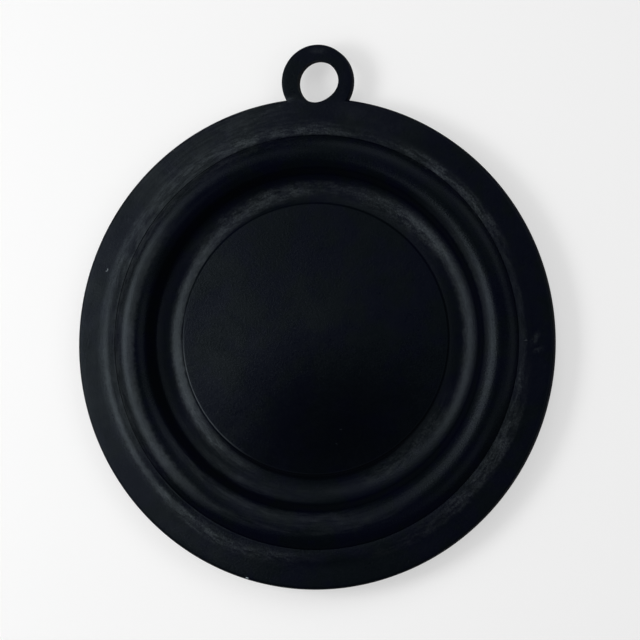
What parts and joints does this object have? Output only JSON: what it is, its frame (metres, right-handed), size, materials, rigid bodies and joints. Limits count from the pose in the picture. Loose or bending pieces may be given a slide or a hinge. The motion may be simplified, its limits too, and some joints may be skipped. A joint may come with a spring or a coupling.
{
  "type": "water valve diaphragm",
  "caption": "Round moulded rubber diaphragm with a thick flange, a raised convolution, a recessed flat disc for a valve plate and an ear with a hole on its rim.",
  "frame": {"origin": "centre of the disc's flat underside, on the axis of the round part", "axes": "+Z is the axis of the round part and points up to the side with the raised convolution, +Y points to the ear"},
  "size_m": [0.073, 0.081, 0.0052],
  "materials": {
    "rubber": "satin moulded black rubber, with a whitish bloom in its hollows"
  },
  "bodies": {
    "root": {"diaphragm": "rubber"}
  },
  "joints": []
}
